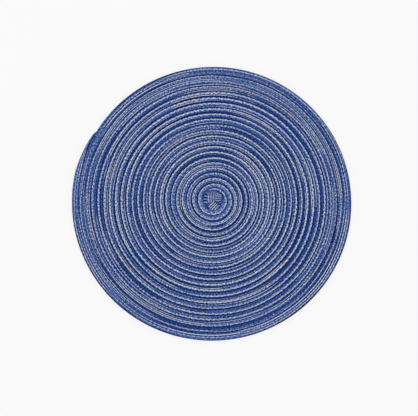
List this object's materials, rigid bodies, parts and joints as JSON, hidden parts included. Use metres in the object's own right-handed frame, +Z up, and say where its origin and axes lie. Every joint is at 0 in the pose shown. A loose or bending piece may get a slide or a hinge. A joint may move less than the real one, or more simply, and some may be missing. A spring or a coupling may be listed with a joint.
{
  "type": "fabric placemat",
  "caption": "Round table mat wound flat from a plaited yarn tape, with raised spiral ribs and a folded centre.",
  "frame": {"origin": "middle of the mat's bounding box, in the flat underside", "axes": "+Z up out of the ribbed top; +X and +Y in the underside, +Y towards the top of the picture"},
  "size_m": [0.3836, 0.3758, 0.0042],
  "materials": {
    "yarn": "matt plaited yarn, space-dyed mid and dark blue with grey-white"
  },
  "bodies": {
    "root": {"wound_mat": "yarn"}
  },
  "joints": []
}
